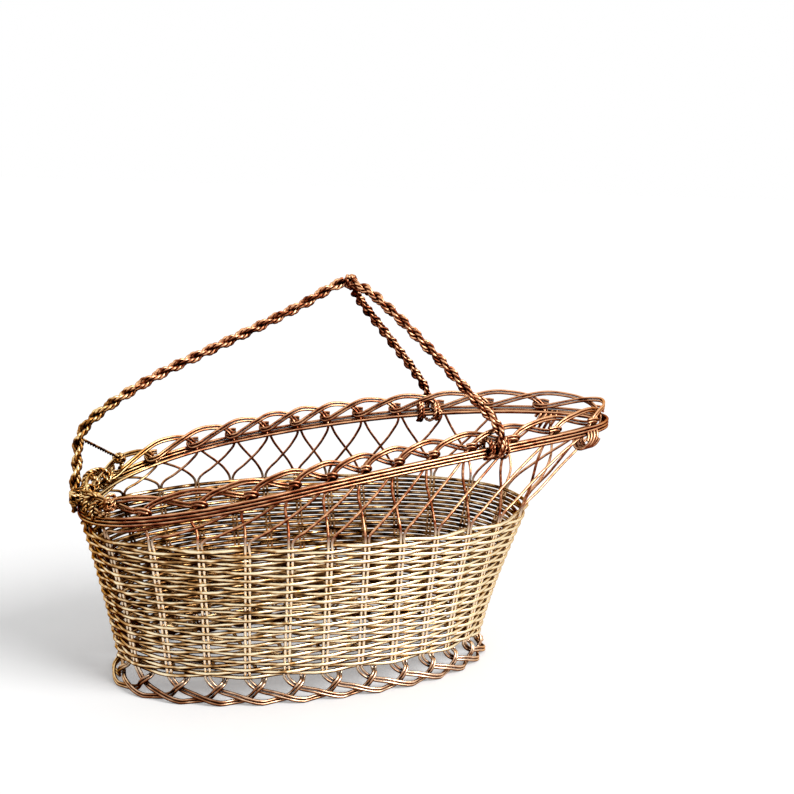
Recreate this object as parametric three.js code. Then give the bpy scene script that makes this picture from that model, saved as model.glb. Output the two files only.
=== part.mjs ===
// Wine bottle basket of woven metal wire, in millimetres, +Z up. It stands on its looped foot
// at z = 0, its length runs along X with the pouring spout at +X, and the origin is the middle
// of the floor under it. The wires are faceted: each is a slim prism swept along its route.
//
// Places on the basket's skin are given by two numbers. The first counts stakes round the
// basket, from the back end along the near side (-Y) to the spout and back along the far side.
// The second is the storey: -1 the ground, 0 the wall's foot, 1 its top, 2 the rim.
import * as THREE from 'three';

// Stakes and weave
const STAKE_COUNT = 27; // odd, so that one wire alternates sides at every turn
const WEAVE_TURNS = 32;
const STAKE_WIRE = 1.25;
const WEAVE_WIRE = 1.8;
const PAIR_SPACING = 2;
const LAYER = 1.05;
const WEAVE_SWING = 1.95;
const WEAVE_MARGIN = 1.2;

// Foot, wall and rim ovals, measured at the middle of the stakes
const FOOT_HEIGHT = 11.3;
const WALL_HEIGHT = 70.3;
const FOOT_HALF_LENGTH = 95.2;
const FOOT_HALF_WIDTH = 49.2;
const WALL_FOOT_HALF_LENGTH = 92.3;
const WALL_FOOT_HALF_WIDTH = 44.4;
const WALL_FOOT_CENTRE = 1.5;
const WALL_TOP_HALF_LENGTH = 112.6;
const WALL_TOP_HALF_WIDTH = 58.1;
const WALL_TOP_CENTRE = 4.5;
const WALL_HOLLOW_SHARE = 0.27;
const OVAL_POWER = 2.19;
const RIM_BACK_LENGTH = 79.4;
const RIM_SPOUT_LENGTH = 189.5;
const RIM_HALF_WIDTH = 51.2;
const RIM_CENTRE = -27.8;
const RIM_BACK_POWER = 2.09;
const RIM_SPOUT_POWER = 1.94;
const RIM_BACK_RISE = 3.3;
const RIM_SPOUT_RISE = 36.8;
const RIM_ARCH = 8.5;

// Rim rods and top border
const ROD_WIRE = 1.25;
const ROD_SPACING = 1.65;
const ROD_LAYER = 2.9;
const ROD_STEPS = 46;
const BORDER_RISE = 8;

// Floor
const FLOOR_WIRE = 1.8;
const FLOOR_GAP = 0.6;
const CROSS_ROD_COUNT = 9;
const CROSS_ROD_SPACING = 18;
const LONG_ROD_COUNT = 3;
const LONG_ROD_SPACING = 21;
const BASE_RING_STEPS = 32;

// Handle
const ROPE_WIDTH = 5.2;
const ROPE_THICKNESS = 2.9;
const ROPE_LAY = 17.2;
const ROPE_STEPS_PER_LAY = 4;
const ROPE_FOOT_TAPER_SHARE = 0.5;
const CROWN_X = 18;
const CROWN_HEIGHT = 192;
const LEG_ROUND_SHARE = 0.3775;
const LEG_DROP = 2.5;
const BINDING_WIRE = 1.25;
const BINDING_PITCH = 1.65;
const CROWN_BINDING_TURNS = 2;
const CROWN_BINDING_SLACK = 1.2;
const RIM_LASHING_TURNS = 2;
const BACK_LASHING_TURNS = 4;
const LASHING_SLACK_SHARE = 1.03;
const LASHING_STEPS = 8;
const STAY_WIDTH = 2.2;
const STAY_THICKNESS = 1.3;
const STAY_PLACE_SHARE = 0.19;
const NEAR_KNOT_ROUND_SHARE = 0.039;
const NEAR_KNOT_RISE_SHARE = 1.05;
const FAR_KNOT_ROUND_SHARE = 0.053;
const FAR_KNOT_RISE_SHARE = 1.55;
const KNOT_SPAN = 5.7;
const KNOT_WIRE = 1;
const KNOT_STEPS = 20;

// Smallest gap kept between two wires, how far a wire's corners reach from its middle line,
// how finely an oval is measured, and the small step that directions on the skin are taken over
const CLEARANCE = 0.3;
const WIRE_REACH_SHARE = 0.58;
const OVAL_DIVISIONS = 600;
const STEP_SHARE = 0.02;

const TAU = 2 * Math.PI;
const UP = new THREE.Vector3(0, 0, 1);
const BRASS = { color: 0xb08a55, roughness: 0.32, metalness: 1 };
const COPPER = { color: 0xa0674a, roughness: 0.3, metalness: 1 };

const basket = new THREE.Group();

// Adds one named piece to the basket.
function piece(name, geometry, finish) {
  const mesh = new THREE.Mesh(geometry, new THREE.MeshStandardMaterial(finish));
  mesh.name = name;
  basket.add(mesh);
}

// Joins rings of points into one closed solid, with end caps or bent round on itself.
function loft(rings, closed) {
  const sides = rings[0].length;
  const faces = [];
  const spans = closed ? rings.length : rings.length - 1;
  for (let k = 0; k < spans; k += 1) {
    const here = k * sides;
    const next = ((k + 1) % rings.length) * sides;
    for (let j = 0; j < sides; j += 1) {
      const i = (j + 1) % sides;
      faces.push([here + j, next + j, here + i], [here + i, next + j, next + i]);
    }
  }
  if (!closed) {
    const last = (rings.length - 1) * sides;
    for (let j = 2; j < sides; j += 1) {
      faces.push([0, j - 1, j], [last, last + j, last + j - 1]);
    }
  }
  const points = rings.flat();
  const volume = faces.reduce((sum, [a, b, c]) => {
    const normal = new THREE.Vector3().crossVectors(points[b], points[c]);
    return sum + points[a].dot(normal);
  }, 0);
  const outward = volume > 0 ? faces : faces.map(([a, b, c]) => [a, c, b]);
  const geometry = new THREE.BufferGeometry().setFromPoints(points);
  geometry.setIndex(outward.flat());
  geometry.computeVertexNormals();
  return geometry;
}

// The direction of a route at one of its places: the mean of the runs before and after it.
function heading(places, k, closed) {
  const count = places.length;
  const before = closed ? places[(k + count - 1) % count] : places[Math.max(k - 1, 0)];
  const after = closed ? places[(k + 1) % count] : places[Math.min(k + 1, count - 1)];
  const here = places[k];
  const came = here.clone().sub(before).normalize();
  const goes = after.clone().sub(here).normalize();
  return came.add(goes).normalize();
}

// A wire of three sides along stations of place and outward direction. Its ridge points
// outward, except at stations that lie on the ground, where one side is level underneath.
function bentWire(stations, diameter, closed = false) {
  const reach = diameter * WIRE_REACH_SHARE;
  const places = stations.map((each) => each.place);
  const rings = stations.map((each, k) => {
    const along = heading(places, k, closed);
    const across = new THREE.Vector3().crossVectors(each.outward, along).normalize();
    const out = new THREE.Vector3().crossVectors(along, across).normalize();
    const sense = Math.sign(across.z);
    const turned = each.grounded ? -sense * (TAU / 12) : 0;
    if (each.grounded) {
      out.copy(each.outward);
      across.copy(UP).multiplyScalar(sense);
    }
    return [0, 1, 2].map((corner) => {
      const angle = turned + (corner * TAU) / 3;
      const point = each.place.clone().addScaledVector(out, reach * Math.cos(angle));
      return point.addScaledVector(across, reach * Math.sin(angle));
    });
  });
  return loft(rings, closed);
}

// An egg-shaped oval in plan: two half superellipses that share a width. It starts at the
// back end and runs along the near side.
class Oval extends THREE.Curve {
  constructor(centre, backLength, frontLength, halfWidth, backPower, frontPower) {
    super();
    this.arcLengthDivisions = OVAL_DIVISIONS;
    Object.assign(this, { centre, backLength, frontLength, halfWidth, backPower, frontPower });
  }

  getPoint(share, target = new THREE.Vector3()) {
    const angle = Math.PI + TAU * share;
    const cosine = Math.cos(angle);
    const sine = Math.sin(angle);
    const front = cosine > 0;
    const power = 2 / (front ? this.frontPower : this.backPower);
    const length = front ? this.frontLength : this.backLength;
    const x = this.centre + length * Math.sign(cosine) * Math.abs(cosine) ** power;
    const y = this.halfWidth * Math.sign(sine) * Math.abs(sine) ** power;
    return target.set(x, y, 0);
  }
}

function evenOval(centre, halfLength, halfWidth) {
  return new Oval(centre, halfLength, halfLength, halfWidth, OVAL_POWER, OVAL_POWER);
}

const footOval = evenOval(WALL_FOOT_CENTRE, FOOT_HALF_LENGTH, FOOT_HALF_WIDTH);
const wallFootOval = evenOval(WALL_FOOT_CENTRE, WALL_FOOT_HALF_LENGTH, WALL_FOOT_HALF_WIDTH);
const wallTopOval = evenOval(WALL_TOP_CENTRE, WALL_TOP_HALF_LENGTH, WALL_TOP_HALF_WIDTH);
const rimOval = new Oval(
  RIM_CENTRE, RIM_BACK_LENGTH, RIM_SPOUT_LENGTH, RIM_HALF_WIDTH, RIM_BACK_POWER, RIM_SPOUT_POWER,
);

// How the stakes crowd towards the ends (first share) and the sides (second share).
const FOOT_CROWDING_SHARES = [0.02, -0.006];
const WALL_TOP_CROWDING_SHARES = [0.004, 0.012];
const RIM_CROWDING_SHARES = [-0.0135, 0.023];

// The plan place of a stake number on an oval.
function planPlace(oval, stake, [endShare, sideShare]) {
  const turn = stake / STAKE_COUNT;
  const moved = turn + endShare * Math.sin(TAU * turn) + sideShare * Math.sin(2 * TAU * turn);
  return oval.getPointAt(moved - Math.floor(moved));
}

const wallTopHeight = FOOT_HEIGHT + WALL_HEIGHT;

// The rim climbs from the back end to the spout, along a low arch.
function rimHeight(x) {
  const back = RIM_CENTRE - RIM_BACK_LENGTH;
  const share = (x - back) / (RIM_BACK_LENGTH + RIM_SPOUT_LENGTH);
  const rise = THREE.MathUtils.lerp(RIM_BACK_RISE, RIM_SPOUT_RISE, share);
  return wallTopHeight + rise + RIM_ARCH * 4 * share * (1 - share);
}

// A point of the basket's skin.
function skin(stake, storey) {
  const wallFoot = planPlace(wallFootOval, stake, FOOT_CROWDING_SHARES).setZ(FOOT_HEIGHT);
  if (storey < 0) {
    const ground = planPlace(footOval, stake, FOOT_CROWDING_SHARES);
    return wallFoot.lerp(ground, -storey);
  }
  const wallTop = planPlace(wallTopOval, stake, WALL_TOP_CROWDING_SHARES);
  if (storey <= 1) {
    const flare = storey - WALL_HOLLOW_SHARE * storey * (1 - storey);
    return wallFoot.lerp(wallTop, flare).setZ(FOOT_HEIGHT + WALL_HEIGHT * storey);
  }
  const rim = planPlace(rimOval, stake, RIM_CROWDING_SHARES);
  rim.setZ(rimHeight(rim.x));
  if (storey <= 2) {
    return wallTop.setZ(wallTopHeight).lerp(rim, storey - 1);
  }
  return rim.addScaledVector(UP, (storey - 2) * BORDER_RISE);
}

// A station stands off the skin by a distance: outside the skin where it is positive.
function station(stake, storey, standOff = 0) {
  const round = skin(stake + STEP_SHARE, storey).sub(skin(stake - STEP_SHARE, storey));
  const up = skin(stake, storey + STEP_SHARE).sub(skin(stake, storey - STEP_SHARE));
  const outward = new THREE.Vector3().crossVectors(round, up).normalize();
  return { place: skin(stake, storey).addScaledVector(outward, standOff), outward };
}

// Moves a run of stations sideways, square to the run, to lay two wires beside each other.
function beside(stations, distance) {
  const places = stations.map((each) => each.place);
  return stations.map((each, k) => {
    const across = new THREE.Vector3().crossVectors(each.outward, heading(places, k, false));
    const sideways = each.grounded ? UP : across.normalize();
    return { ...each, place: each.place.clone().addScaledVector(sideways, distance) };
  });
}

// One stake is a wire bent double. Rows hold how far the run has moved round the basket in
// stakes, its storey and its layer.
const FOOT_ROUTE_SHARES = [
  [0, 0.5, 0], [0, 0, 0], [0.28, -0.4, -1], [0.72, -0.62, 1], [1.42, -1, 1], [1.72, -1, -1],
  [2.1, -0.72, -1], [2.28, -0.42, 1], [2.42, -0.2, 0], [2.45, -0.1, -1.6],
];
const RIGHT_TRELLIS_SHARES = [[0.3, 1.2, 1], [0.72, 1.47, 1], [1.15, 1.75, 1]];
const LEFT_TRELLIS_SHARES = [[-0.22, 1.35, -1], [-0.46, 1.72, -1]];
const BORDER_ROUTE_SHARES = [
  [0.14, 2.62, 1], [0.3, 2.95, 1], [0.62, 3.2, 0.7], [1, 3.28, 0], [1.36, 3.05, -1],
  [1.82, 2.56, -1],
];
const LEFT_LEAN_SHARE = -0.5;
const RIGHT_LEAN_SHARE = 1.5;

function route(shares, start) {
  return shares.map(([round, storey, layer]) => station(start + round, storey, layer * LAYER));
}

function footRun(stake, side) {
  const lowest = (STAKE_WIRE * WIRE_REACH_SHARE) / 2;
  const run = route([[0, 1, 0], ...FOOT_ROUTE_SHARES], stake);
  const rested = run.map((each, k) => {
    const [, storey] = FOOT_ROUTE_SHARES[k - 1] ?? [0, 1];
    if (storey > -1) {
      return each;
    }
    const place = each.place.clone().setZ(lowest + PAIR_SPACING / 2);
    return { place, outward: each.outward.clone().setZ(0).normalize(), grounded: true };
  });
  return beside(rested, (side * PAIR_SPACING) / 2);
}

function upperRun(stake, side) {
  const trellis = side > 0 ? RIGHT_TRELLIS_SHARES : LEFT_TRELLIS_SHARES;
  const lean = side > 0 ? RIGHT_LEAN_SHARE : LEFT_LEAN_SHARE;
  const atRim = station(stake + lean, 2, side * LAYER);
  const border = [atRim, ...route(BORDER_ROUTE_SHARES, stake + lean)];
  return [...route(trellis, stake), ...beside(border, (side * PAIR_SPACING) / 2)];
}

function stakeWire(stake) {
  const stations = [
    ...upperRun(stake, 1).reverse(), ...footRun(stake, 1),
    ...footRun(stake, -1).reverse(), ...upperRun(stake, -1),
  ];
  return bentWire(stations, STAKE_WIRE);
}

for (let stake = 0; stake < STAKE_COUNT; stake += 1) {
  piece(`stake_${String(stake + 1).padStart(2, '0')}`, stakeWire(stake), BRASS);
}

// The weaver stands off further where the wall turns sharply, to clear both legs of a stake.
function weaverStation(step) {
  const start = WEAVE_WIRE / 2 / WALL_HEIGHT;
  const end = 1 - (WEAVE_MARGIN + WEAVE_WIRE / 2) / WALL_HEIGHT;
  const share = step / (STAKE_COUNT * WEAVE_TURNS);
  const storey = THREE.MathUtils.lerp(start, end, share);
  const here = station(step, storey);
  const next = skin(step + 1, storey).sub(here.place);
  const drop = -next.dot(here.outward) / next.length();
  const side = step % 2 === 0 ? 1 : -1;
  const lift = side > 0 ? (drop * PAIR_SPACING) / 2 : 0;
  return station(step, storey, side * WEAVE_SWING + lift);
}

const weaverStations = [];
for (let step = 0; step <= STAKE_COUNT * WEAVE_TURNS; step += 1) {
  weaverStations.push(weaverStation(step));
}
piece('side_weaver', bentWire(weaverStations, WEAVE_WIRE), BRASS);

// A closed wire that follows an oval at a distance outside it.
function ovalRod(oval, steps, standOff, heightAt, diameter) {
  const stations = [];
  for (let step = 0; step < steps; step += 1) {
    const before = oval.getPoint((step - STEP_SHARE) / steps);
    const after = oval.getPoint((step + STEP_SHARE) / steps);
    const outward = new THREE.Vector3().crossVectors(after.sub(before), UP).normalize();
    const place = oval.getPoint(step / steps);
    place.setZ(heightAt(place.x)).addScaledVector(outward, standOff);
    stations.push({ place, outward });
  }
  return bentWire(stations, diameter, true);
}

// The rim rods hold the stakes between them.
function rimRod(standOff, rise) {
  return ovalRod(rimOval, ROD_STEPS, standOff, (x) => rimHeight(x) + rise, ROD_WIRE);
}

piece('rim_rod_lower', rimRod(ROD_LAYER, -ROD_SPACING), COPPER);
piece('rim_rod_middle', rimRod(ROD_LAYER, 0), COPPER);
piece('rim_rod_upper', rimRod(ROD_LAYER, ROD_SPACING), COPPER);
piece('rim_rod_inner', rimRod(-ROD_LAYER, 0), COPPER);

// The floor lies inside the weave's lowest turns: a ring, and rods across it that the long
// rods are woven through.
const floorReach = FLOOR_WIRE * WIRE_REACH_SHARE;
const weaveReach = WEAVE_WIRE * WIRE_REACH_SHARE;
const ringInset = WEAVE_SWING + weaveReach / 2 + FLOOR_GAP + floorReach;
const ringHeight = FOOT_HEIGHT + floorReach + CLEARANCE;
const rodHeight = ringHeight + floorReach + CLEARANCE + floorReach / 2;
const rodSwing = floorReach + floorReach / 2 + CLEARANCE;
const baseOval = evenOval(
  WALL_FOOT_CENTRE, WALL_FOOT_HALF_LENGTH - ringInset, WALL_FOOT_HALF_WIDTH - ringInset,
);

piece('base_ring', ovalRod(baseOval, BASE_RING_STEPS, 0, () => ringHeight, FLOOR_WIRE), BRASS);

// Half the span of the base oval in one direction, at a distance from its other axis.
function halfSpan(distance, halfAlong, halfAcross) {
  return halfAlong * (1 - Math.abs(distance / halfAcross) ** OVAL_POWER) ** (1 / OVAL_POWER);
}

function floorStation(x, y, rise) {
  return { place: new THREE.Vector3(WALL_FOOT_CENTRE + x, y, rodHeight + rise), outward: UP };
}

for (let cross = 0; cross < CROSS_ROD_COUNT; cross += 1) {
  const x = (cross - (CROSS_ROD_COUNT - 1) / 2) * CROSS_ROD_SPACING;
  const reach = halfSpan(x, baseOval.halfWidth, baseOval.frontLength);
  const ends = [floorStation(x, -reach, 0), floorStation(x, reach, 0)];
  piece(`cross_rod_${cross + 1}`, bentWire(ends, FLOOR_WIRE), BRASS);
}

for (let long = 0; long < LONG_ROD_COUNT; long += 1) {
  const y = (long - (LONG_ROD_COUNT - 1) / 2) * LONG_ROD_SPACING;
  const reach = halfSpan(y, baseOval.frontLength, baseOval.halfWidth);
  const stations = [floorStation(-reach, y, 0)];
  for (let cross = 0; cross < CROSS_ROD_COUNT; cross += 1) {
    const x = (cross - (CROSS_ROD_COUNT - 1) / 2) * CROSS_ROD_SPACING;
    stations.push(floorStation(x, y, (cross + long) % 2 === 0 ? rodSwing : -rodSwing));
  }
  stations.push(floorStation(reach, y, 0));
  piece(`long_rod_${long + 1}`, bentWire(stations, FLOOR_WIRE), BRASS);
}

// A rope of two twisted strands is a flat six-sided section that turns along its route.
const ROPE_SECTION_SHARES = [[1, 0], [0.5, 1], [-0.5, 1], [-1, 0], [-0.5, -1], [0.5, -1]];

function rope(curve, width, thickness, lay, taperAt) {
  const length = curve.getLength();
  const steps = Math.round((length / lay) * ROPE_STEPS_PER_LAY);
  const frames = curve.computeFrenetFrames(steps, false);
  const rings = [];
  for (let step = 0; step <= steps; step += 1) {
    const share = step / steps;
    const centre = curve.getPointAt(share);
    const twist = (TAU * share * length) / lay;
    const size = taperAt(share * length, length);
    const sideways = frames.normals[step].clone().multiplyScalar(Math.cos(twist));
    sideways.addScaledVector(frames.binormals[step], Math.sin(twist));
    const through = new THREE.Vector3().crossVectors(frames.tangents[step], sideways);
    rings.push(ROPE_SECTION_SHARES.map(([a, b]) => {
      const point = centre.clone().addScaledVector(sideways, (a * size * width) / 2);
      return point.addScaledVector(through, (b * size * thickness) / 2);
    }));
  }
  return loft(rings, false);
}

// A rope is slimmer where it is tied down, over its last two widths.
function slimming(distance) {
  const share = Math.min(distance / (2 * ROPE_WIDTH), 1);
  return THREE.MathUtils.lerp(ROPE_FOOT_TAPER_SHARE, 1, share);
}

const rodReach = ROD_WIRE * WIRE_REACH_SHARE;
const ropeStandOff = ROD_LAYER + rodReach + CLEARANCE + (ROPE_WIDTH * ROPE_FOOT_TAPER_SHARE) / 2;

// The front rope is one arch from the near rim over the crown to the far rim. Its legs leave
// the crown well apart and then run nearly straight down: shares of the way from the border to
// the crown, along the basket, across it and up.
const ARCH_SHARES = [
  [0, 0, 0], [0.185, 0.12, 0.234], [0.329, 0.195, 0.381], [0.473, 0.258, 0.528],
  [0.625, 0.348, 0.676], [0.748, 0.441, 0.794], [0.839, 0.574, 0.882], [0.903, 0.73, 0.947],
  [0.965, 0.88, 0.985],
];
const legStake = LEG_ROUND_SHARE * STAKE_COUNT;

function archRoute() {
  const rimPlace = station(legStake, 2, ropeStandOff).place;
  const lower = rimPlace.clone().addScaledVector(UP, -LEG_DROP);
  const upper = rimPlace.clone().addScaledVector(UP, BORDER_RISE);
  const crown = new THREE.Vector3(CROWN_X, 0, CROWN_HEIGHT);
  const half = [lower, ...ARCH_SHARES.map(([x, y, z]) => new THREE.Vector3(
    THREE.MathUtils.lerp(upper.x, crown.x, x),
    THREE.MathUtils.lerp(upper.y, crown.y, y),
    THREE.MathUtils.lerp(upper.z, crown.z, z),
  ))];
  const mirrored = half.map((place) => new THREE.Vector3(place.x, -place.y, place.z)).reverse();
  return new THREE.CatmullRomCurve3([...half, crown, ...mirrored], false, 'centripetal');
}

const archCurve = archRoute();
const arch = rope(archCurve, ROPE_WIDTH, ROPE_THICKNESS, ROPE_LAY, (distance, length) => (
  slimming(Math.min(distance, length - distance, Math.abs(distance - length / 2)))
));
piece('front_handle_rope', arch, COPPER);

// The back rope rises outside the rim's back end, far enough out for its lashing to pass
// between it and the border, and runs forward to the crown, where it ends at the binding.
const stakeReach = STAKE_WIRE * WIRE_REACH_SHARE;
const bindingReach = BINDING_WIRE * WIRE_REACH_SHARE;
const bindingRadius = ROPE_WIDTH / 2 + CLEARANCE + bindingReach;
const slimRope = (ROPE_WIDTH * ROPE_FOOT_TAPER_SHARE) / 2;
const crownRadius = slimRope + CLEARANCE + bindingReach + CROWN_BINDING_SLACK;
const backStandOff = LAYER + stakeReach + CLEARANCE + bindingReach + bindingRadius;
const BACK_ROPE_SHARES = [
  [0, 0], [0, 0.11], [0.008, 0.17], [0.012, 0.24], [0.02, 0.33], [0.05, 0.389], [0.119, 0.459],
  [0.304, 0.594], [0.5, 0.703], [0.7, 0.814], [0.857, 0.906], [0.923, 0.953], [1, 1],
];
const backRim = station(0, 2, backStandOff).place;
const backFoot = backRim.clone().addScaledVector(UP, -LEG_DROP);
const backTip = new THREE.Vector3(CROWN_X, 0, CROWN_HEIGHT);
backTip.x -= crownRadius + bindingReach;
const backCurve = new THREE.CatmullRomCurve3(BACK_ROPE_SHARES.map(([x, z]) => (
  new THREE.Vector3(
    THREE.MathUtils.lerp(backFoot.x, backTip.x, x), 0,
    THREE.MathUtils.lerp(backFoot.z, backTip.z, z),
  )
)), false, 'centripetal');
piece('back_handle_rope', rope(
  backCurve, ROPE_WIDTH, ROPE_THICKNESS, ROPE_LAY, (distance) => slimming(distance),
), COPPER);

// A coil of wire about a straight axis, round or oval.
function coil(centre, axis, first, radius, second, rise, turns) {
  const steps = turns * LASHING_STEPS;
  const stations = [];
  for (let step = 0; step <= steps; step += 1) {
    const angle = (TAU * step) / LASHING_STEPS;
    const outward = first.clone().multiplyScalar(Math.cos(angle) * radius);
    outward.addScaledVector(second, Math.sin(angle) * rise);
    const along = (step / steps - 0.5) * turns * BINDING_PITCH;
    const place = centre.clone().add(outward).addScaledVector(axis, along);
    stations.push({ place, outward: outward.normalize() });
  }
  return bentWire(stations, BINDING_WIRE);
}

// The crown binding winds round the middle of the arch, where the back rope meets it. The arch
// bends there, so the winding sits a little to the inside of the bend.
function crownBinding() {
  const inside = (2 * CROWN_BINDING_SLACK) / 3;
  const centre = new THREE.Vector3(CROWN_X + inside, 0, CROWN_HEIGHT - inside / 2);
  const side = new THREE.Vector3(0, 1, 0);
  const backward = new THREE.Vector3(-1, 0, 0);
  return coil(centre, side, backward, crownRadius, UP, crownRadius, CROWN_BINDING_TURNS);
}

piece('crown_binding', crownBinding(), COPPER);

// Each front lashing goes round the rim rods and the rope's foot, on both sides of the rope.
function rimLashing(stake) {
  const { place, outward } = station(stake, 2);
  const level = outward.clone().setZ(0).normalize();
  const axis = new THREE.Vector3().crossVectors(UP, level);
  const inner = ROD_LAYER + rodReach + CLEARANCE + bindingReach;
  const outer = ropeStandOff + (ROPE_WIDTH * ROPE_FOOT_TAPER_SHARE) / 2 + CLEARANCE + bindingReach;
  const rise = ROD_SPACING + rodReach + CLEARANCE + bindingReach;
  const centre = place.clone().addScaledVector(level, (outer - inner) / 2);
  const steps = RIM_LASHING_TURNS * LASHING_STEPS;
  const girth = slimming(LEG_DROP + rise * LASHING_SLACK_SHARE) * ROPE_WIDTH;
  const parting = girth / 2 + CLEARANCE + bindingReach;
  const stations = [];
  for (let step = 0; step <= steps; step += 1) {
    const angle = (TAU * step) / LASHING_STEPS - TAU / 4;
    const along = (step / steps - 0.5) * RIM_LASHING_TURNS * BINDING_PITCH;
    const aside = Math.sign(along) * (step === steps / 2 ? 0 : parting - BINDING_PITCH / 2);
    const out = level.clone().multiplyScalar((Math.cos(angle) * (outer + inner)) / 2);
    out.addScaledVector(UP, Math.sin(angle) * rise * LASHING_SLACK_SHARE);
    stations.push({
      place: centre.clone().add(out).addScaledVector(axis, along + aside),
      outward: out.normalize(),
    });
  }
  return bentWire(stations, BINDING_WIRE);
}

piece('near_lashing', rimLashing(legStake), COPPER);
piece('far_lashing', rimLashing(STAKE_COUNT - legStake), COPPER);

// The back lashing binds the back rope just above the rim, outside the border.
function backLashing() {
  const side = new THREE.Vector3(0, 1, 0);
  const forward = new THREE.Vector3(1, 0, 0);
  const turns = BACK_LASHING_TURNS * BINDING_PITCH;
  const centre = backRim.clone().addScaledVector(UP, ROD_SPACING + rodReach + turns / 2);
  centre.addScaledVector(UP, bindingReach + CLEARANCE);
  return coil(centre, UP, forward, bindingRadius, side, bindingRadius, BACK_LASHING_TURNS);
}

piece('back_lashing', backLashing(), COPPER);

// A small knot of wire is a trefoil.
function knot(centre) {
  const size = KNOT_SPAN / 3;
  const stations = [];
  for (let step = 0; step < KNOT_STEPS; step += 1) {
    const angle = (2 * TAU * step) / KNOT_STEPS;
    const lobe = (3 * angle) / 2;
    const girth = size * (1 + Math.cos(lobe) / 2);
    const outward = new THREE.Vector3(
      girth * Math.cos(angle), girth * Math.sin(angle), (size * Math.sin(lobe)) / 2,
    );
    stations.push({ place: centre.clone().add(outward), outward: outward.normalize() });
  }
  return bentWire(stations, KNOT_WIRE, true);
}

const knotStandOff = LAYER + rodReach + CLEARANCE + KNOT_SPAN / 2 + KNOT_WIRE / 2;
const nearKnotPlace = station(
  NEAR_KNOT_ROUND_SHARE * STAKE_COUNT, 2 + NEAR_KNOT_RISE_SHARE, knotStandOff - LAYER,
).place;
const farKnotPlace = station(
  -FAR_KNOT_ROUND_SHARE * STAKE_COUNT, 2 + FAR_KNOT_RISE_SHARE, LAYER - knotStandOff,
).place;
piece('near_rim_knot', knot(nearKnotPlace), COPPER);
piece('far_rim_knot', knot(farKnotPlace), COPPER);

// The stay runs from the back rope down to the far knot.
function stay() {
  const top = backCurve.getPointAt(STAY_PLACE_SHARE);
  const bottom = farKnotPlace.clone();
  const along = bottom.clone().sub(top).normalize();
  top.addScaledVector(along, ROPE_WIDTH / 2 + CLEARANCE + STAY_WIDTH / 2);
  bottom.addScaledVector(along, -(KNOT_SPAN / 2 + CLEARANCE));
  const line = new THREE.LineCurve3(top, bottom);
  return rope(line, STAY_WIDTH, STAY_THICKNESS, ROPE_LAY, () => 1);
}

piece('stay_wire', stay(), COPPER);

// The origin is the middle of the floor under the basket.
const box = new THREE.Box3().setFromObject(basket);
const middle = box.getCenter(new THREE.Vector3());
basket.position.set(-middle.x, -middle.y, -box.min.z);

export default basket;
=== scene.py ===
import bisect
import math

import bpy
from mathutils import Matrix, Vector
from mathutils.geometry import interpolate_bezier


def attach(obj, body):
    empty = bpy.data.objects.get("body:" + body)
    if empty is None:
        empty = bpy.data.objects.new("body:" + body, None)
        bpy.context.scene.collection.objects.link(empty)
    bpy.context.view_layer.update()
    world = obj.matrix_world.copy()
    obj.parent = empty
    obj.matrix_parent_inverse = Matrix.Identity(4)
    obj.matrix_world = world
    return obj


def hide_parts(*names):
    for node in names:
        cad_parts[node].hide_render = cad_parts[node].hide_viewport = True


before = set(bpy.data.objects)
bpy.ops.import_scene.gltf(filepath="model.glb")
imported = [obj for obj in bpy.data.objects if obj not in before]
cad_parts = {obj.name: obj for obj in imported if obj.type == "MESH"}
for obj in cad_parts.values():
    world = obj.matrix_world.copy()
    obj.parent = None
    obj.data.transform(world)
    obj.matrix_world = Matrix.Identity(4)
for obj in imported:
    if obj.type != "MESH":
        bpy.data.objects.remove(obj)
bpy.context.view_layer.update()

# The stakes. Each is one long brass wire bent double like a hairpin. Its two legs run side by
# side up the wall, loop into the foot below, part above the wall to make the open trellis,
# pair up with a neighbour's leg at the rim, and end curled round the next pair of the border.
MM = 0.001
UP = Vector((0, 0, 1))
STAKE_COUNT = 27
STAKE_WIRE = 1.38 * MM
PAIR_SPACING = 2 * MM
CLOSE_SPACING = 1.44 * MM
LAYER = 1.05 * MM
FOOT_HEIGHT = 11.3 * MM
WALL_HEIGHT = 70.3 * MM
WALL_TOP = FOOT_HEIGHT + WALL_HEIGHT
WALL_HOLLOW = 0.27
RIM_BACK_RISE = 3.3 * MM
RIM_CLIMB = 33.5 * MM
RIM_ARCH = 34 * MM
BORDER_RISE = 8 * MM
OVAL_FULLNESS = 2.19
OVAL_STEPS = 600
NUDGE = 0.02
# The outlines are laid out from a point near the foot's middle, and the frame from this one.
MIDDLE = Vector((23.685, 0.09, 0)) * MM


class Oval:
    """An egg-shaped outline in plan. It starts at the back end and runs along the near side."""

    def __init__(
        self, centre, back, spout, half_width,
        back_fullness=OVAL_FULLNESS, spout_fullness=OVAL_FULLNESS,
    ):
        self.centre, self.back, self.spout = centre * MM, back * MM, spout * MM
        self.half_width = half_width * MM
        self.fullness = back_fullness, spout_fullness
        places = [self.point(step / OVAL_STEPS) for step in range(OVAL_STEPS + 1)]
        self.walked = [0]
        for here, after in zip(places, places[1:]):
            self.walked.append(self.walked[-1] + (after - here).length)

    def point(self, share):
        """The place at a share of a full turn."""
        angle = math.pi + math.tau * share
        cosine, sine = math.cos(angle), math.sin(angle)
        length = self.spout if cosine > 0 else self.back
        power = 2 / self.fullness[cosine > 0]
        return Vector((
            self.centre + length * math.copysign(abs(cosine) ** power, cosine),
            self.half_width * math.copysign(abs(sine) ** power, sine), 0,
        ))

    def at(self, share):
        """The place at a share of the outline's length."""
        length = share % 1 * self.walked[-1]
        step = bisect.bisect_right(self.walked, length, 1, OVAL_STEPS)
        low, high = self.walked[step - 1], self.walked[step]
        return self.point((step - 1 + (length - low) / (high - low)) / OVAL_STEPS)


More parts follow.
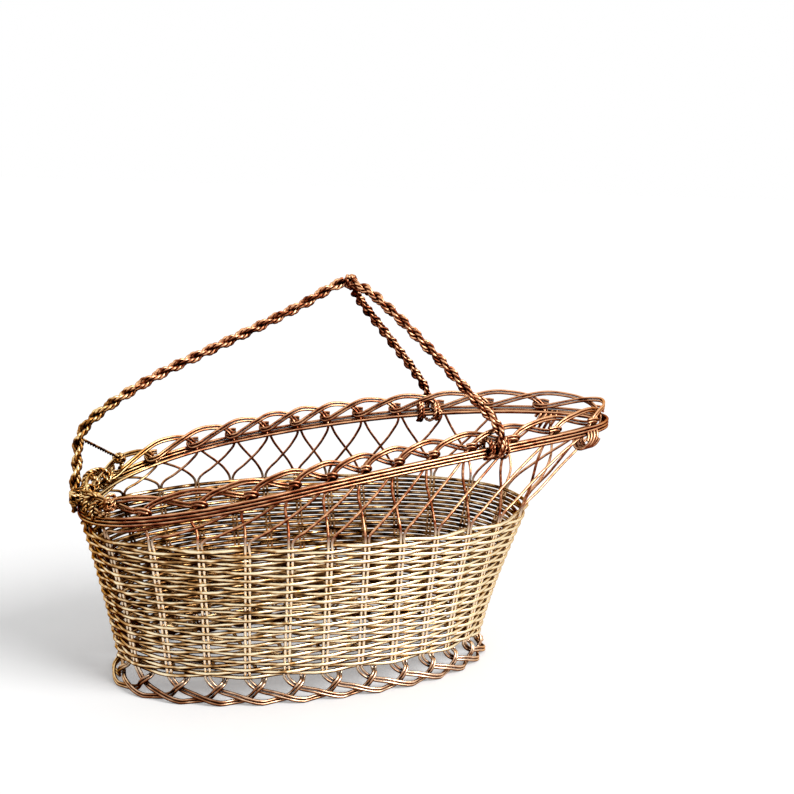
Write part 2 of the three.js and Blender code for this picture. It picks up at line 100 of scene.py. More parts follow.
FOOT_OVAL = Oval(centre=1.5, back=95.2, spout=95.2, half_width=49.2)
WALL_FOOT_OVAL = Oval(centre=1.5, back=92.3, spout=92.3, half_width=44.4)
WALL_TOP_OVAL = Oval(centre=4.5, back=112.6, spout=112.6, half_width=58.1)
RIM_OVAL = Oval(
    centre=-27.8, back=79.4, spout=189.5, half_width=51.2, back_fullness=2.09, spout_fullness=1.94,
)
# How far the stakes crowd towards the spout, and how far towards the middles of the sides.
FOOT_CROWDING = 0.02, -0.006
WALL_TOP_CROWDING = 0.004, 0.012
RIM_CROWDING = -0.0135, 0.023


def plan_place(oval, stake, crowding):
    """A stake's place on an outline."""
    turn = stake / STAKE_COUNT
    to_spout, to_sides = crowding
    return oval.at(
        turn + to_spout * math.sin(math.tau * turn) + to_sides * math.sin(2 * math.tau * turn)
    )


def rim_height(x):
    """The rim climbs from the back end to the spout, along a low arch."""
    share = (x - RIM_OVAL.centre + RIM_OVAL.back) / (RIM_OVAL.back + RIM_OVAL.spout)
    return WALL_TOP + RIM_BACK_RISE + RIM_CLIMB * share + RIM_ARCH * share * (1 - share)


def skin(stake, storey):
    """A place on the basket: storey -1 is the ground, 0 and 1 the wall's edges, 2 the rim."""
    wall_foot = plan_place(WALL_FOOT_OVAL, stake, FOOT_CROWDING)
    wall_foot.z = FOOT_HEIGHT
    if storey < 0:
        return wall_foot.lerp(plan_place(FOOT_OVAL, stake, FOOT_CROWDING), -storey)
    wall_top = plan_place(WALL_TOP_OVAL, stake, WALL_TOP_CROWDING)
    if storey <= 1:
        place = wall_foot.lerp(wall_top, storey - WALL_HOLLOW * storey * (1 - storey))
        place.z = FOOT_HEIGHT + WALL_HEIGHT * storey
        return place
    rim = plan_place(RIM_OVAL, stake, RIM_CROWDING)
    rim.z = rim_height(rim.x)
    if storey <= 2:
        wall_top.z = WALL_TOP
        return wall_top.lerp(rim, storey - 1)
    return rim + UP * (storey - 2) * BORDER_RISE


def station(stake, storey, stand_off=0):
    """A place at a distance outside the skin, and the direction outward there."""
    along = skin(stake + NUDGE, storey) - skin(stake - NUDGE, storey)
    rise = skin(stake, storey + NUDGE) - skin(stake, storey - NUDGE)
    outward = along.cross(rise).normalized()
    return skin(stake, storey) + outward * stand_off, outward


def heading(places, k):
    """The direction of a run at one of its places: the mean of the spans on both sides."""
    came = places[k] - places[k - 1] if k else Vector()
    goes = places[k + 1] - places[k] if k + 1 < len(places) else Vector()
    return (came.normalized() + goes.normalized()).normalized()


def bend(places, steps):
    """A smooth run through the places, such as springy wire takes when it is bent."""
    run = []
    for k, (here, after) in enumerate(zip(places, places[1:])):
        pull = (after - here).length / 3
        leave = here + heading(places, k) * pull
        arrive = after - heading(places, k + 1) * pull
        run += interpolate_bezier(here, leave, arrive, after, steps + 1)[:-1]
    return [*run, places[-1]]


def wires(node, runs, thickness, finish, solid=True, closed=False, roundness=2):
    """One piece of round wires that follow runs. It replaces the solid of its name, if any."""
    curve = bpy.data.curves.new(node + "_wire", "CURVE")
    curve.dimensions = "3D"
    curve.bevel_depth = thickness / 2
    curve.bevel_resolution = roundness
    curve.use_fill_caps = not closed
    curve.materials.append(finish)
    for run in runs:
        spline = curve.splines.new("POLY")
        spline.points.add(len(run) - 1)
        for point, place in zip(spline.points, run):
            point.co = (*(place - MIDDLE), 1)
        spline.use_cyclic_u = closed
    piece = bpy.data.objects.new(node + "_wire", curve)
    bpy.context.collection.objects.link(piece)
    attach(piece, "root")
    if solid:
        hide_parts(node)


class Tone:
    """A value or colour that changes over the metal. Sums and products add Math nodes."""

    def __init__(self, tree, socket=None):
        self.tree, self.socket = tree, socket

    def add(self, kind, settings=None, inputs=None, output=0):
        """Adds a node. Its settings come first, then the values or links of its sockets."""
        node = self.tree.nodes.new("ShaderNode" + kind)
        for name, value in (settings or {}).items():
            if name == "stops":
                stops = node.color_ramp.elements
                for place, _ in value[1:-1]:
                    stops.new(place)
                for stop, (place, colour) in zip(stops, value):
                    stop.position, stop.color = place, colour
            else:
                setattr(node, name, value)
        for name, value in (inputs or {}).items():
            if isinstance(value, Tone):
                self.tree.links.new(value.socket, node.inputs[name])
            else:
                node.inputs[name].default_value = value
        return Tone(self.tree, node.outputs[output] if node.outputs else None)

    def maths(self, operation, first, second):
        return self.add("Math", {"operation": operation}, {0: first, 1: second})

    def __add__(self, other):
        return self.maths("ADD", self, other)

    def __radd__(self, other):
        return self.maths("ADD", other, self)

    def __sub__(self, other):
        return self.maths("SUBTRACT", self, other)

    def __rsub__(self, other):
        return self.maths("SUBTRACT", other, self)

    def __mul__(self, other):
        return self.maths("MULTIPLY", self, other)

    def __rmul__(self, other):
        return self.maths("MULTIPLY", other, self)

    def __truediv__(self, other):
        return self.maths("DIVIDE", self, other)

    def __pow__(self, other):
        return self.maths("POWER", self, other)

    def __abs__(self):
        return self.maths("ABSOLUTE", self, 0)


def graded(value, low, high, least=0):
    """A share that grows from least to 1 as the value goes from low to high."""
    return value.add("MapRange", inputs={
        "Value": value, "From Min": low, "From Max": high, "To Min": least,
    })


def parts(vector):
    """A vector's three parts."""
    return [vector.add("SeparateXYZ", inputs={0: vector}, output=axis) for axis in "XYZ"]


def scaled(vector, factors):
    """A vector with each of its parts multiplied."""
    return vector.add("VectorMath", {"operation": "MULTIPLY"}, {0: vector, 1: factors})


def shade(code):
    """A colour as it looks on the metal, such as d9b27a, for a shader's socket."""
    levels = [int(code[k:k + 2], 16) / 255 for k in (0, 2, 4)]
    return (*[v / 12.92 if v <= 0.04045 else ((v + 0.055) / 1.055) ** 2.4 for v in levels], 1)


def out_of_wall(place):
    """How far metal stands out of the wall's skin."""
    along, across, high = parts(place)
    rise = graded(high, FOOT_HEIGHT, WALL_TOP)
    rise = rise * (1 - WALL_HOLLOW + WALL_HOLLOW * rise)
    foot, top = WALL_FOOT_OVAL, WALL_TOP_OVAL
    along = along + (MIDDLE.x - foot.centre) - (top.centre - foot.centre) * rise
    length = foot.spout + (top.spout - foot.spout) * rise
    width = foot.half_width + (top.half_width - foot.half_width) * rise
    oval = (abs(along) / length) ** OVAL_FULLNESS + (abs(across) / width) ** OVAL_FULLNESS
    reach = place.add(
        "VectorMath", {"operation": "LENGTH"}, {0: scaled(place, (1, 1, 0))}, "Value",
    )
    return (oval ** (1 / OVAL_FULLNESS) - 1) * reach


# Where the four colours lie between painted shade with tarnish and painted highlights.
RAMP = 0.08, 0.36, 0.66, 0.98
# The sockets of a Mix node that mixes colours.
MASK, UNDER, OVER, MIXED = 0, 6, 7, 2
# How much painted light is left on the wall's inside, which is painted in shade.
INSIDE_PAINTED_LIGHT = 0.28
# How far up a surface must face for its painted top light to be full.
PAINTED_LIT_SIDE = 0.8


def polished_wire(
    name, colours, redder=None, browner=None, yellower=None, painted_lit_side=PAINTED_LIT_SIDE, gaps=(0.12, 0.6),
    shine=0, painted_light_ahead=0, painted_sparkle=2.2, in_wall=False,
):
    """Drawn wire. Its colours run from painted shade and tarnish in the gaps to painted
    highlights.

    They turn redder above the wall, browner in the foot and yellower at the back end. Painted
    light makes the upper sides bright, the undersides dark and the metal lighter towards the
    spout. In the wall, painted shade makes the metal dull on the inside and where one wire lies
    behind another.
    """
    metal = bpy.data.materials.new(name)
    metal.use_nodes = True
    metal.node_tree.nodes.clear()
    tone = Tone(metal.node_tree)
    place = tone.add("TexCoord", output="Object")
    facing = tone.add("TexCoord", output="Normal")
    along, across, high = parts(place)
    upward = parts(facing)[2]
    patches = tone.add("TexNoise", inputs={"Vector": place, "Scale": 60, "Detail": 4})
    # Painted glints: fine noise that paints short highlights along the wires.
    painted_glints = tone.add("TexNoise", inputs={
        "Vector": scaled(place, (1, 1, 3)), "Scale": 160, "Detail": 2,
    })
    above = graded(high + 8 * MM * patches, WALL_TOP - 1.1 * MM, WALL_TOP + 6.4 * MM)
    below = graded(high - 4 * MM * patches, FOOT_HEIGHT - 0.3 * MM, FOOT_HEIGHT - 5.3 * MM)
    # Painted shade with tarnish: metal hemmed in by other wires is painted darker.
    openness = tone.add("AmbientOcclusion", {"samples": 6}, {"Distance": 6 * MM}, "AO")
    clear_of_shade_and_tarnish = graded(openness, *gaps)
    if in_wall:
        # Painted shade in the wall: faces turned inside, and metal lying back in the skin, are
        # darker.
        outward = tone.add("VectorMath", {"operation": "NORMALIZE"}, {0: scaled(place, (1, 4, 0))})
        outside = graded(
            tone.add("VectorMath", {"operation": "DOT_PRODUCT"}, {0: facing, 1: outward}, "Value"),
            -0.3, 0.3,
        )
        proud = graded(out_of_wall(place), -1.8 * MM, 0.8 * MM, 0.4)
        painted_light_ahead = painted_light_ahead * outside
        in_wall_painted_light = INSIDE_PAINTED_LIGHT + outside * (proud - INSIDE_PAINTED_LIGHT)
        clear_of_shade_and_tarnish = clear_of_shade_and_tarnish * in_wall_painted_light.maths("MAXIMUM", in_wall_painted_light, above)

    def layers(codes, shine, painted_lit_side=PAINTED_LIT_SIDE):
        """Colours by painted shade and tarnish in gaps, painted top light, painted glints and
        patches.
        """
        # Painted light and shade: faces turned up are painted brighter, undersides darker.
        lit = graded(upward, -0.85, painted_lit_side, 0.15)
        # Painted light and shade, with tarnish and random patches, set each place's spot on the
        # ramp.
        painted_light_and_tarnish = clear_of_shade_and_tarnish * lit * 1.2 + painted_sparkle * (painted_glints - 0.5) + 0.4 * patches + shine - 0.3
        stops = list(zip(RAMP, [shade(code) for code in codes.split()]))
        return tone.add("ValToRGB", {"stops": stops}, {"Fac": painted_light_and_tarnish})

    def turned(colour, mask, codes, shine):
        """The colour with another set over it where the mask is."""
        sockets = {MASK: mask, UNDER: colour, OVER: layers(codes, shine)}
        return tone.add("Mix", {"data_type": "RGBA"}, sockets, MIXED)

    # Painted light: the colours grow lighter towards the spout, or darker where the factor is
    # below 0.
    colour = layers(colours, painted_light_ahead * along + shine, painted_lit_side)
    # The redder and browner sets are also painted lighter towards the spout.
    if redder:
        colour = turned(colour, above, redder, 0.5 * along - 0.07)
    if browner:
        colour = turned(colour, below, browner, 2 * along - 0.06)
    if yellower:
        back = graded(along + 20 * MM * patches - 0.5 * across, -90 * MM, -115 * MM)
        colour = turned(colour, back, yellower, -0.11)
    dents = tone.add("TexNoise", inputs={"Vector": place, "Scale": 900, "Detail": 2})
    grain = tone.add("Bump", inputs={"Strength": 0.1, "Distance": 0.2 * MM, "Height": dents})
    surface = tone.add("BsdfPrincipled", inputs={
        "Base Color": colour, "Metallic": 1, "Normal": grain, "Roughness": 0.36 - 0.2 * patches,
        "Specular Tint": shade(colours.split()[2]),
    })
    tone.add("OutputMaterial", inputs={"Surface": surface})
    return metal


COPPER_COLOURS = "180502 4c1c0c 8e482a f4ba8c"
YELLOWED_COLOURS = "1c0c03 5a3212 a66e30 f8d89c"
STAKE_METAL = polished_wire(
    "stake_brass", "281206 9c7048 e2ba8c fce8cc", redder=COPPER_COLOURS,
    browner="180602 582a14 a06c48 f4d2b2", yellower=YELLOWED_COLOURS, painted_lit_side=0.2,
    gaps=(-0.3, 0.15), shine=0.4, painted_light_ahead=0.6, painted_sparkle=0.9, in_wall=True,
)
# The two legs of a stake are its sides 1 and -1. Each place on a route has its stakes ahead,
# its storey and its layers outside the skin, or None where side 1 lies outside and -1 inside.
FOOT_ROUTE = [
    (0, 1, 0), (0, 0.93, 0.35), (0, 0.5, 0.45), (0, 0.04, 0.35), (0, 0, 0),
    (0.28, -0.4, -1), (0.72, -0.62, 1), (1.42, -1, 1), (1.72, -1, -1), (2.1, -0.72, -1),
    (2.28, -0.42, 1), (2.4, -0.22, 0.4), (2.44, -0.08, -1.2), (2.46, 0.02, -2.2),
]
TRELLIS_ROUTES = {
    1: [(0.3, 1.2, 1), (0.72, 1.47, 1), (1.15, 1.75, 1)],
    -1: [(-0.22, 1.35, -1), (-0.46, 1.72, -1)],
}
BORDER_ROUTE = [
    (0, 2, None), (0.14, 2.62, 1), (0.3, 2.95, 1), (0.62, 3.2, 0.7), (1, 3.28, 0),
    (1.36, 3.05, -1), (1.82, 2.56, -1), (2.03, 2.38, -1.3), (2.2, 2.36, 0.3),
    (2.2, 2.5, 2.2), (2.08, 2.64, 2.5), (1.96, 2.6, 1.7),
]
RIM_LEANS = {1: 1.5, -1: -0.5}


def beside(places, outwards, distance):
    """A run laid beside another, square to it on the skin."""
    return [
        place + outward.cross(heading(places, k)).normalized() * distance
        for k, (place, outward) in enumerate(zip(places, outwards))
    ]


def foot_run(stake, side):
    """A leg from the wall's top through the foot. On the ground the pair lies on each other."""
    stations = [station(stake + turn, storey, layer * LAYER) for turn, storey, layer in FOOT_ROUTE]
    places, outwards = (list(each) for each in zip(*stations))
    for k, (_, storey, _) in enumerate(FOOT_ROUTE):
        if storey <= -1:
            places[k].z = (STAKE_WIRE + CLOSE_SPACING) / 2
    run = beside(places, outwards, side * CLOSE_SPACING / 2)
    for k, (_, storey, _) in enumerate(FOOT_ROUTE):
        if storey <= -1:
            run[k] = places[k] + UP * side * CLOSE_SPACING / 2
        elif storey >= 0:
            run[k] += (run[k] - places[k]) * (PAIR_SPACING / CLOSE_SPACING - 1)
    return run


def upper_run(stake, side):
    """A leg from the wall's top through the trellis to its end in the border."""
    trellis = [
        station(stake + turn, storey, layer * LAYER)[0]
        for turn, storey, layer in TRELLIS_ROUTES[side]
    ]
    start = stake + RIM_LEANS[side]
    places, outwards = zip(*[
        station(start + turn, storey, (side if layer is None else layer) * LAYER)
        for turn, storey, layer in BORDER_ROUTE
    ])
    return trellis + beside(places, outwards, side * CLOSE_SPACING / 2)


for stake in range(STAKE_COUNT):
    hairpin = [
        *reversed(upper_run(stake, 1)), *foot_run(stake, 1),
        *reversed(foot_run(stake, -1)), *upper_run(stake, -1),
    ]
    run = bend(hairpin, steps=5)
    for place in run:
        place.z = max(place.z, STAKE_WIRE / 2)
    wires(f"stake_{stake + 1:02d}", [run], STAKE_WIRE, STAKE_METAL)

# The side weaver. One long brass wire is woven in front of one stake and behind the next,
# thirty-two times round the wall from its foot to its top. The odd number of stakes makes
# every turn lie opposite to the turn below it.
WEAVE_TURNS = 32
WEAVE_CROSSINGS = STAKE_COUNT * WEAVE_TURNS
WEAVE_WIRE = 1.95 * MM
WEAVE_SWING = 1.2 * MM
WEAVE_SWAY = 0.3 * MM
# Shares of the wall's height: where the first turn starts, and how far all turns climb.
WEAVE_START = 0.0128
WEAVE_RISE = 0.9573
WEAVE_METAL = polished_wire(
    "weave_brass", "1c0d03 6e4926 ca9c64 fdecc6", painted_lit_side=0.25, gaps=(0.06, 0.46),
    shine=0.14, painted_light_ahead=4, in_wall=True,
)

weave = []
for step in range(WEAVE_CROSSINGS + 1):
    storey = WEAVE_START + WEAVE_RISE * step / WEAVE_CROSSINGS
    here, outward = station(step, storey)
    over = skin(step + 1, storey) - here
    lift = -over.dot(outward) / over.length * PAIR_SPACING / 2
    swing = WEAVE_SWING + lift if step % 2 == 0 else -WEAVE_SWING
    sway = WEAVE_SWAY * math.sin(0.93 * step + 9 * storey) * min(12 * storey, 12 - 12 * storey, 1)
    weave.append(here + outward * swing + UP * sway)
wires("side_weaver", [bend(weave, steps=4)], WEAVE_WIRE, WEAVE_METAL, roundness=1)

# The rim rods. Three copper-toned wires lie on each other outside the stakes and one lies
# inside them, each bent to the egg-shaped rim and closed, so that they grip the stakes.
ROD_WIRE = 1.6 * MM
ROD_LAYER = 2.8 * MM
ROD_SPACING = 1.65 * MM
ROD_STEPS = 160
ROD_METAL = polished_wire(
    "rim_copper", COPPER_COLOURS, yellower=YELLOWED_COLOURS, shine=-0.04, painted_light_ahead=0.8,
    painted_sparkle=0.9,
)


def oval_rod(oval, steps, stand_off, height_at):
    """A closed run that follows an oval at a distance outside it."""
    run = []
    for step in range(steps):
        place = oval.point(step / steps)
        along = oval.point((step + NUDGE) / steps) - oval.point((step - NUDGE) / steps)
        outward = along.cross(UP).normalized()
        run.append(Vector((place.x, place.y, height_at(place.x))) + outward * stand_off)
    return run


for rod, stand_off, rise in [
    ("lower", ROD_LAYER, -ROD_SPACING), ("middle", ROD_LAYER, 0),
    ("upper", ROD_LAYER, ROD_SPACING), ("inner", -ROD_LAYER, 0),
]:
    run = oval_rod(RIM_OVAL, ROD_STEPS, stand_off, lambda x: rim_height(x) + rise)
    wires("rim_rod_" + rod, [run], ROD_WIRE, ROD_METAL, closed=True)

# The floor. A brass ring lies inside the lowest turns of the weave, cross rods lie on it, and
# the long rods are woven over and under them.
FLOOR_WIRE = 1.8 * MM
FLOOR_OVAL = Oval(centre=1.5, back=88.18, spout=88.18, half_width=40.28)
RING_HEIGHT = 12.64 * MM
RING_STEPS = 96
ROD_HEIGHT = 14.51 * MM
ROD_SWING = 1.87 * MM
CROSS_ROD_COUNT = 9
CROSS_ROD_SPACING = 18 * MM
LONG_ROD_COUNT = 3
LONG_ROD_SPACING = 21 * MM
FLOOR_METAL = polished_wire("floor_brass", "241206 6d4e30 a17c53 c7a477")

ring = oval_rod(FLOOR_OVAL, RING_STEPS, 0, lambda x: RING_HEIGHT)
wires("base_ring", [ring], FLOOR_WIRE, FLOOR_METAL, closed=True)


def spread(count, spacing):
    """The places of rods laid side by side, from the middle of the floor."""
    return [(rod - (count - 1) / 2) * spacing for rod in range(count)]


def floor_place(x, y, rise=0):
    """A place among the rods, with x counted from the middle of the floor."""
    return Vector((FLOOR_OVAL.centre + x, y, ROD_HEIGHT + rise))


def half_span(aside, half_along, half_across):
    """Half of the floor's span along a rod that lies aside of its middle."""
    return half_along * (1 - abs(aside / half_across) ** OVAL_FULLNESS) ** (1 / OVAL_FULLNESS)


cross_places = spread(CROSS_ROD_COUNT, CROSS_ROD_SPACING)
for cross, x in enumerate(cross_places):
    reach = half_span(x, FLOOR_OVAL.half_width, FLOOR_OVAL.spout)
    run = [floor_place(x, y) for y in (-reach, 0, reach)]
    wires(f"cross_rod_{cross + 1}", [run], FLOOR_WIRE, FLOOR_METAL)

for long, y in enumerate(spread(LONG_ROD_COUNT, LONG_ROD_SPACING)):
    reach = half_span(y, FLOOR_OVAL.spout, FLOOR_OVAL.half_width)
    run = [floor_place(-reach, y)]
    for cross, x in enumerate(cross_places):
        over = (cross + long) % 2 == 0
        run.append(floor_place(x, y, ROD_SWING if over else -ROD_SWING))
    run.append(floor_place(reach, y))
    wires(f"long_rod_{long + 1}", [bend(run, steps=6)], FLOOR_WIRE, FLOOR_METAL)

# The handle ropes. Each is twisted from six fine copper-toned wires: three make a strand, and
# two strands turn round each other. The front rope is one arch from rim to rim, and the back
# rope runs from the back end of the rim up to the arch's crown.
ROPE_WIDTH = 5.2 * MM
ROPE_LAY = 17.2 * MM
ROPE_STEP = 0.8 * MM
ROPE_WIRE = 1.42 * MM
ROPE_WIRE_OFFSET = 0.8 * MM
STRAND_OFFSET = 1.3 * MM
STRANDS = 2
STRAND_WIRES = 3
CROWN = Vector((18, 0, 192)) * MM
LEG_STAKE = 0.3775 * STAKE_COUNT
LEG_DROP = 2.5 * MM
ROPE_STAND_OFF = 5.225 * MM
BACK_STAND_OFF = 5.2 * MM
BACK_DROP = 0.5 * MM
CROWN_GAP = Vector((2.9, 0, 0)) * MM
ROPE_METAL = polished_wire(
    "rope_copper", COPPER_COLOURS, yellower=YELLOWED_COLOURS, shine=-0.05, painted_light_ahead=-0.3,
)
# The routes give shares of the way from the rim to the crown, lengthwise, across and up.
ARCH_ROUTE = [
    (0, 0, 0), (0.185, 0.12, 0.234), (0.329, 0.195, 0.381), (0.473, 0.258, 0.528),
    (0.625, 0.348, 0.676), (0.748, 0.441, 0.794), (0.839, 0.574, 0.882), (0.903, 0.73, 0.947),
    (0.965, 0.88, 0.985), (1, 1, 1),
]
BACK_ROUTE = [
    (0, 0, 0), (0, 0, 0.11), (0.008, 0, 0.17), (0.012, 0, 0.24), (0.02, 0, 0.33),
    (0.05, 0, 0.389), (0.119, 0, 0.459), (0.304, 0, 0.594), (0.5, 0, 0.703), (0.7, 0, 0.814),
    (0.857, 0, 0.906), (0.923, 0, 0.953), (1, 1, 1),
]


def even(path, spacing):
    """The same path with its places an even distance apart."""
    length = sum((after - here).length for here, after in zip(path, path[1:]))
    count = round(length / spacing)
    places, walked, step = [path[0]], 0, 1
    for here, after in zip(path, path[1:]):
        span = (after - here).length
        while step < count and step * length / count <= walked + span:
            places.append(here.lerp(after, (step * length / count - walked) / span))
            step += 1
        walked += span
    return [*places, path[-1]]


def twisted(path, spacing, lay, offsets, size_at):
    """Wires that turn round a path.

    Each wire has one or two offsets: a distance, an angle and its turns in a lay. Its distances
    are multiplied by the size at a distance along the path.
    """
    places = even(path, spacing)
    side = heading(places, 0).orthogonal().normalized()
    runs = [[] for _ in offsets]
    for k, place in enumerate(places):
        along = heading(places, k)
        side = (side - along * side.dot(along)).normalized()
        over = along.cross(side)
        size = size_at(k * spacing, (len(places) - 1) * spacing)
        for run, wire in zip(runs, offsets):
            shift = Vector()
            for distance, angle, turns in wire:
                turn = angle + math.tau * turns * k * spacing / lay
                shift += (side * math.cos(turn) + over * math.sin(turn)) * distance
            run.append(place + shift * size)
    return runs


def on_route(start, end, route):
    """The places of a route between two ends."""
    return [
        Vector([low + (high - low) * share for low, high, share in zip(start, end, shares)])
        for shares in route
    ]


def slimming(distance):
    """A rope is slimmer where it is tied down, over its last two widths."""
    return 0.5 + 0.5 * min(distance / (2 * ROPE_WIDTH), 1)


def rope(node, path, size_at):
    """One rope of two strands, each of three wires that turn the other way."""
    offsets = [
        [
            (STRAND_OFFSET, strand * math.tau / STRANDS, 1),
            (ROPE_WIRE_OFFSET, wire * math.tau / STRAND_WIRES, -2),
        ]
        for strand in range(STRANDS) for wire in range(STRAND_WIRES)
    ]
    runs = twisted(path, ROPE_STEP, ROPE_LAY, offsets, size_at)
    wires(node, runs, ROPE_WIRE, ROPE_METAL)


def arch_size(distance, length):
    """The arch is tied down at both its feet and at the crown."""
    return slimming(min(distance, length - distance, abs(distance - length / 2)))


foot = station(LEG_STAKE, 2, ROPE_STAND_OFF)[0]
near_half = [foot - UP * LEG_DROP, *on_route(foot + UP * BORDER_RISE, CROWN, ARCH_ROUTE)]
far_half = [Vector((place.x, -place.y, place.z)) for place in reversed(near_half[:-1])]
rope("front_handle_rope", bend([*near_half, *far_half], steps=24), arch_size)

back_rim = station(0, 2, BACK_STAND_OFF)[0]
back_path = bend(on_route(back_rim - UP * BACK_DROP, CROWN - CROWN_GAP, BACK_ROUTE), steps=24)
rope("back_handle_rope", back_path, lambda distance, length: slimming(distance))

# The bindings. Stout cords twisted from two copper-toned wires tie the ropes down: a crumpled
# knot at the crown, turns on both sides of each front rope's foot, and turns at the back end.
CORD_WIRE = 1.05 * MM
CORD_OFFSET = 0.5 * MM
CORD_LAY = 4.6 * MM
CORD_STEP = 0.4 * MM
CROWN_RADIUS = 3 * MM
TURN_STEPS = 24
COIL_TURNS = 4
KNOT_STEPS = 180
KNOT_LAPS = 3
KNOT_WAVES = 4
CORD_METAL = polished_wire(
    "copper_cord", COPPER_COLOURS, yellower=YELLOWED_COLOURS, gaps=(-0.3, 0.26),
)
# A coil's places, each with its turns from the middle of the coil and its angle.
COIL = [
    (step / TURN_STEPS - COIL_TURNS / 2, math.tau * step / TURN_STEPS)
    for step in range(COIL_TURNS * TURN_STEPS + 1)
]


def cord(node, path, wire=CORD_WIRE, solid=True):
    """A cord of two wires that follows a path."""
    offsets = [[(CORD_OFFSET, 0, 1)], [(CORD_OFFSET, math.pi, 1)]]
    runs = twisted(path, CORD_STEP, CORD_LAY, offsets, lambda distance, length: wire / CORD_WIRE)
    wires(node, runs, wire, CORD_METAL, solid)


def knot_path(centre, radius, tilt):
    """A closed run that laps a ball, swaying up and down."""
    run = []
    for step in range(KNOT_STEPS + 1):
        turn = KNOT_LAPS * math.tau * step / KNOT_STEPS
        sway = tilt * math.sin(KNOT_WAVES * math.tau * step / KNOT_STEPS)
        run.append(centre + radius * Vector((
            math.cos(turn) * math.cos(sway), math.sin(turn) * math.cos(sway), math.sin(sway),
        )))
    return run


def rim_place(stake):
    """A stake's place at the rim, and the level direction outward there."""
    place, outward = station(stake, 2)
    return place, Vector((outward.x, outward.y, 0)).normalized()


cord("crown_binding", knot_path(CROWN + Vector((0.6, 0, -0.2)) * MM, CROWN_RADIUS, 1.1))

# A lashing goes round the rods and the rope's foot, and its turns part in the middle.
for node, stake in [("near_lashing", LEG_STAKE), ("far_lashing", STAKE_COUNT - LEG_STAKE)]:
    place, level = rim_place(stake)
    cord(node, [
        place + (
            level * (0.6 + 5.2 * math.sin(angle))
            + UP * (1 - 4.9 * math.cos(angle) + 0.4 * math.sin(5 * turn))
            + UP.cross(level) * (1.4 * turn + 3 * math.tanh(4 * turn))
        ) * MM
        for turn, angle in COIL
    ])

lashed = back_rim + Vector((1.2, 0, 6.4)) * MM
cord("back_lashing", [
    lashed + Vector((
        2.7 * math.cos(angle), 2.7 * math.sin(angle), 2.2 * turn + 1.35 * math.sin(step / 7),
    )) * MM
    for step, (turn, angle) in enumerate(COIL)
])

# The back end. The back rope's ends are untwisted and wound in loose curls along the border on
# both sides, as far as a small ball knot on each side. A thin stay runs up from the far knot.
KNOT_WIRE = 0.95 * MM
KNOT_RADIUS = 2.3 * MM
CURL_WIRE = 1.2 * MM
CURL_STEPS = 6 * TURN_STEPS
STAY_WIRE = 0.9 * MM
STAY_OFFSET = 0.42 * MM
STAY_LAY = 5 * MM
STAY_STEP = 0.5 * MM
# The stay starts this many rope steps above the rim.
STAY_START = 44

knots = {}
for node, stake, storey, stand_off in [
    ("near_rim_knot", 1.053, 3.05, 4.35 * MM), ("far_rim_knot", -1.431, 3.55, -4.35 * MM),
]:
    knots[node] = station(stake, storey, stand_off)[0]
    cord(node, knot_path(knots[node], KNOT_RADIUS, 1), KNOT_WIRE)

for name, end in [("near_border_curls", 1), ("far_border_curls", -1.7)]:
    run = []
    for step in range(CURL_STEPS + 1):
        stake = end * (0.05 + 0.9 * step / CURL_STEPS + 0.09 * math.sin(step / 6))
        place, outward = station(stake, 2.75 + 0.35 * math.sin(step / 9))
        angle = math.tau * (step / TURN_STEPS + 0.12 * math.sin(step / 5))
        reach = (3.7 + 0.9 * math.sin(step / 7)) * min(0.3 + step / 20, 1) * MM
        run.append(place + (outward * math.cos(angle) + UP * math.sin(angle)) * reach)
    cord(name, run, CURL_WIRE, solid=False)

top = even(back_path, ROPE_STEP)[STAY_START]
along = (knots["far_rim_knot"] - top).normalized()
line = [top + along * 2 * MM, knots["far_rim_knot"] - along * 2.5 * MM]
offsets = [[(STAY_OFFSET, 0, 1)], [(STAY_OFFSET, math.pi, 1)]]
stay = twisted(line, STAY_STEP, STAY_LAY, offsets, lambda distance, length: 1)
wires("stay_wire", stay, STAY_WIRE, CORD_METAL)

# The spout's curls. Where the trellis wires crowd together near the tip, a copper-toned wire is
# turned round the rim rods on each side, in slanting loops that hang just under them.
CURLS_STAKE = 12.5

for name, stake, ahead in [
    ("near_spout_curls", CURLS_STAKE, 1), ("far_spout_curls", STAKE_COUNT - CURLS_STAKE, -1),
]:
    place, level = rim_place(stake)
    run = [
        place + (
            level * (0.4 + 4.4 * math.cos(angle)) + UP * (4.9 * math.sin(angle) - 4.4)
            + UP.cross(level) * ahead * (2.8 * turn + 2.6 * math.sin(angle))
        ) * MM
        for turn, angle in COIL
    ]
    wires(name, [run], ROD_WIRE, ROD_METAL, solid=False)

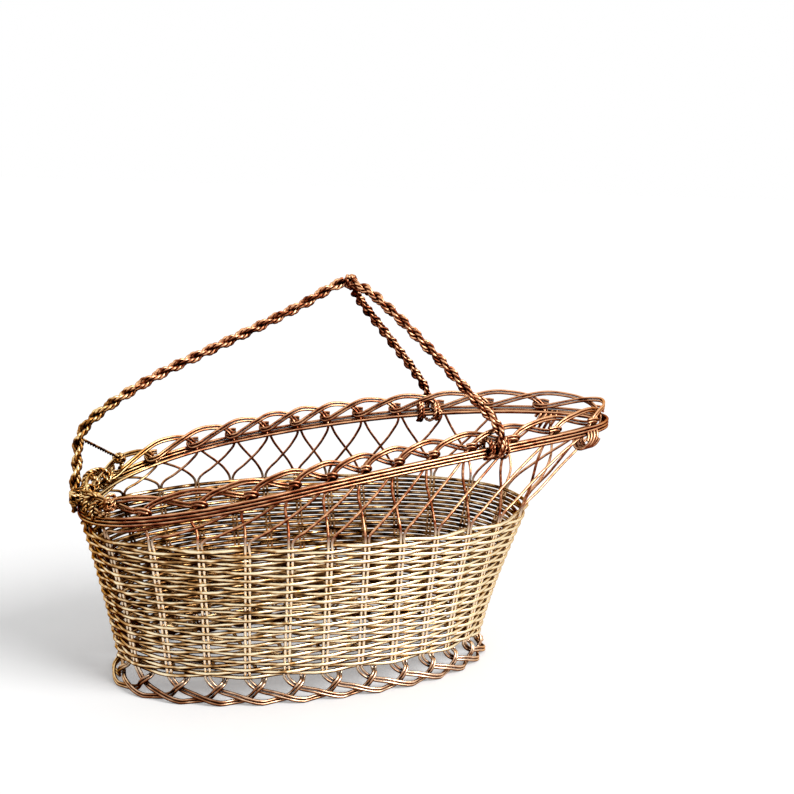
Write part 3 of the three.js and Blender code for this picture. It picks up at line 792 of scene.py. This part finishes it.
# The studio. A pale floor runs out of sight under even light and one broad lamp, and the camera
# stands where the photograph's did. Only the camera and the metal's reflections see it white.
FLOOR_SIZE = 12
WHITE = 1, 1, 1, 1
PALE = 0.86, 0.86, 0.86, 1
FLOOR_GLOW = 0.24
WORLD_LIGHT = 0.42
LAMP_POWER = 2.8
LAMP_SPREAD = math.radians(36)
LAMP_SIDE = Vector((0.7, -0.85, 0.85))


def seen(tone, *kinds):
    """1 for rays of these kinds, and 0 for the rays that light things."""
    rays = [tone.add("LightPath", output=f"Is {kind} Ray") for kind in kinds]
    return sum(rays[1:], rays[0])


bpy.ops.mesh.primitive_plane_add(size=FLOOR_SIZE)
floor = bpy.context.object
floor.name = "studio_floor"
paint = bpy.data.materials.new("floor_paint")
paint.use_nodes = True
paint.node_tree.nodes.clear()
tone = Tone(paint.node_tree)
matt = tone.add("BsdfDiffuse", inputs={"Color": PALE})
glow = tone.add("Emission", inputs={"Color": WHITE, "Strength": FLOOR_GLOW})
lit = tone.add("AddShader", inputs={0: matt, 1: glow})
whole = tone.add("MixShader", inputs={"Fac": seen(tone, "Camera", "Glossy"), 1: matt, 2: lit})
tone.add("OutputMaterial", inputs={"Surface": whole})
floor.data.materials.append(paint)

world = bpy.data.worlds.new("studio")
bpy.context.scene.world = world
world.use_nodes = True
world.node_tree.nodes.clear()
tone = Tone(world.node_tree)
light = tone.add("Background", inputs={"Color": WHITE, "Strength": WORLD_LIGHT})
white = tone.add("Background", inputs={"Color": WHITE, "Strength": 1})
background = seen(tone, "Camera", "Glossy", "Transmission")
whole = tone.add("MixShader", inputs={"Fac": background, 1: light, 2: white})
tone.add("OutputWorld", inputs={"Surface": whole})

lamp = bpy.data.objects.new("window_light", bpy.data.lights.new("window_light", "SUN"))
lamp.data.energy = LAMP_POWER
lamp.data.angle = LAMP_SPREAD
lamp.rotation_euler = LAMP_SIDE.to_track_quat("Z", "Y").to_euler()
bpy.context.collection.objects.link(lamp)

camera = bpy.data.objects.new("camera", bpy.data.cameras.new("camera"))
camera.location = (-0.20133, -0.56938, 0.25881)
camera.rotation_euler = [math.radians(angle) for angle in (78.4464, -2.4578, -20.8831)]
camera.data.lens = 56.584
camera.data.clip_start = 0.01
bpy.context.collection.objects.link(camera)
bpy.context.scene.camera = camera
bpy.context.scene.view_settings.view_transform = "Standard"
